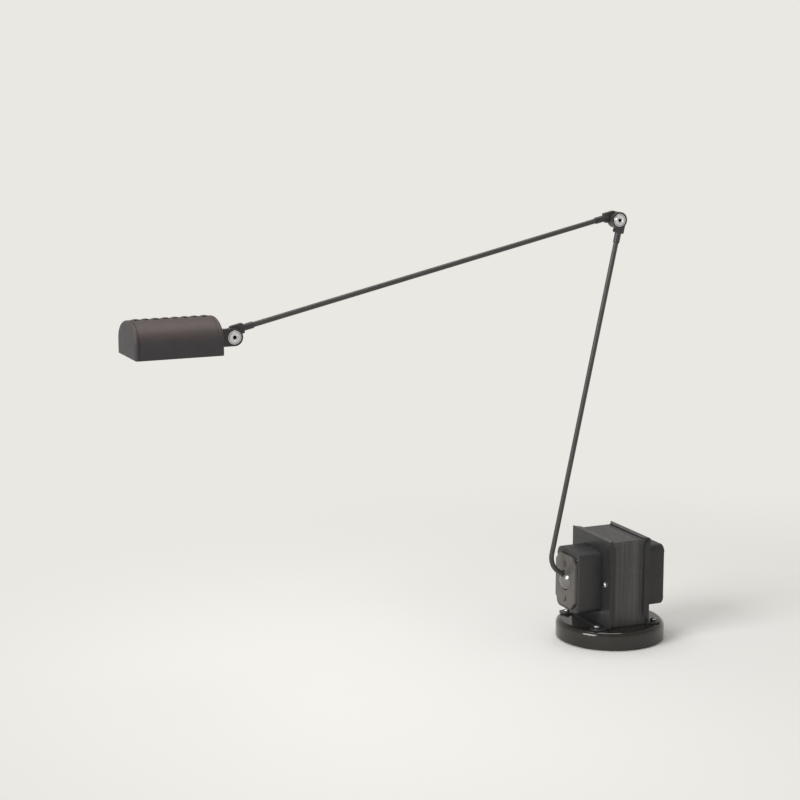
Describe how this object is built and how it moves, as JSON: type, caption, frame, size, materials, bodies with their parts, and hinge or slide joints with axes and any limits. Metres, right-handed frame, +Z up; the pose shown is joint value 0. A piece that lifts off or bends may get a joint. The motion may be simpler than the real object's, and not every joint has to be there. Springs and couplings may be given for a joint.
{
  "type": "architect desk lamp",
  "caption": "Desk lamp: a laminated transformer on a round iron weight, a rocker dimmer plate, and a jointed tube arm on a ball pivot that carries an arched, louvred metal hood.",
  "frame": {"origin": "centre of the underside of the base pad", "axes": "+Z up; +X from the switch cover towards the mains cover; the arm and hood lie in the X-Z plane, towards -X"},
  "size_m": [0.6065, 0.12, 0.4716],
  "materials": {
    "base_enamel": "glossy black enamel over turned iron",
    "rubber": "matt black rubber",
    "core_steel": "black varnished laminations with fine edges",
    "frame_black": "satin black sheet steel",
    "cover_plastic": "fine-grained black moulding",
    "rocker_plastic": "satin warm-grey moulding",
    "ball_metal": "satin grey-black enamel",
    "joint_black": "satin black glass-filled moulding",
    "arm_black": "satin black tube",
    "hood_paint": "fine-textured brown-black paint",
    "turned_metal": "bright turned, with lathe rings",
    "screw_steel": "bright zinc plating",
    "copper_wire": "varnished copper wire",
    "cream_plastic": "natural nylon",
    "reflector_metal": "polished sheet",
    "ceramic": "glazed white ceramic",
    "bulb_glass": "clear quartz"
  },
  "bodies": {
    "base": {"base_weight": "base_enamel", "base_pad": "rubber", "transformer_core": "core_steel", "bobbin": "cream_plastic", "primary_winding": "copper_wire", "secondary_winding": "copper_wire", "end_frame_switch_side": "frame_black", "end_frame_mains_side": "frame_black", "foot_screw_switch_side_front": "screw_steel", "foot_screw_switch_side_back": "screw_steel", "foot_screw_mains_side_front": "screw_steel", "foot_screw_mains_side_back": "screw_steel", "core_bolt_front": "screw_steel", "core_bolt_back": "screw_steel", "core_bolt_nut_front": "screw_steel", "core_bolt_nut_back": "screw_steel", "switch_cover": "cover_plastic", "mains_cover": "cover_plastic", "cord_gland": "rubber", "switch_cover_screw_low_front": "screw_steel", "switch_cover_screw_low_back": "screw_steel", "switch_cover_screw_high_front": "screw_steel", "switch_cover_screw_high_back": "screw_steel", "mains_cover_screw_low_front": "screw_steel", "mains_cover_screw_low_back": "screw_steel", "mains_cover_screw_high_front": "screw_steel", "mains_cover_screw_high_back": "screw_steel", "terminal_block": "cream_plastic", "switch_carrier": "cream_plastic", "ball_housing": "ball_metal", "full_light_switch": "cover_plastic", "low_light_switch": "cover_plastic"},
    "rocker": {"rocker_plate": "rocker_plastic"},
    "swivel": {"swivel_yoke": "screw_steel", "tilt_pin": "screw_steel"},
    "lower_arm": {"arm_ball": "ball_metal", "lower_arm_tube": "arm_black", "lower_arm_fitting": "joint_black", "lower_arm_grub_screw": "frame_black", "elbow_pivot_screw": "turned_metal", "elbow_friction_washer": "cream_plastic"},
    "upper_arm": {"upper_arm_tube": "arm_black", "upper_arm_elbow_end_fitting": "joint_black", "upper_arm_elbow_end_grub_screw": "frame_black", "upper_arm_head_end_fitting": "joint_black", "upper_arm_head_end_grub_screw": "frame_black", "elbow_pivot_nut": "screw_steel", "head_pivot_nut": "screw_steel"},
    "head": {"head_lug": "joint_black", "head_pivot_screw": "turned_metal", "head_friction_washer": "cream_plastic", "hood_shell": "hood_paint", "hood_far_cap": "hood_paint", "hood_near_cap": "hood_paint", "lug_screw_low": "screw_steel", "lug_screw_high": "screw_steel", "reflector": "reflector_metal", "lamp_holder": "ceramic", "bulb": "bulb_glass"}
  },
  "joints": [
    {"name": "rocker_tilt", "type": "hinge", "parent": "base", "child": "rocker", "pos_m": [-0.0523, 0, 0.0698], "axis": [0, 1, 0], "range_deg": [-2.5, 2.5]},
    {"name": "arm_swivel", "type": "hinge", "parent": "base", "child": "swivel", "pos_m": [-0.05, 0, 0.0698], "axis": [1, 0, 0], "range_deg": [-35, 35]},
    {"name": "arm_tilt", "type": "hinge", "parent": "swivel", "child": "lower_arm", "pos_m": [-0.05, 0, 0.0698], "axis": [0, 1, 0], "range_deg": [-30, 8]},
    {"name": "elbow_fold", "type": "hinge", "parent": "lower_arm", "child": "upper_arm", "pos_m": [0.00125, 0, 0.46278], "axis": [0, -1, 0], "range_deg": [-60, 37]},
    {"name": "head_tilt", "type": "hinge", "parent": "upper_arm", "child": "head", "pos_m": [-0.43596, 0, 0.36321], "axis": [0, -1, 0], "range_deg": [-40, 70]}
  ]
}
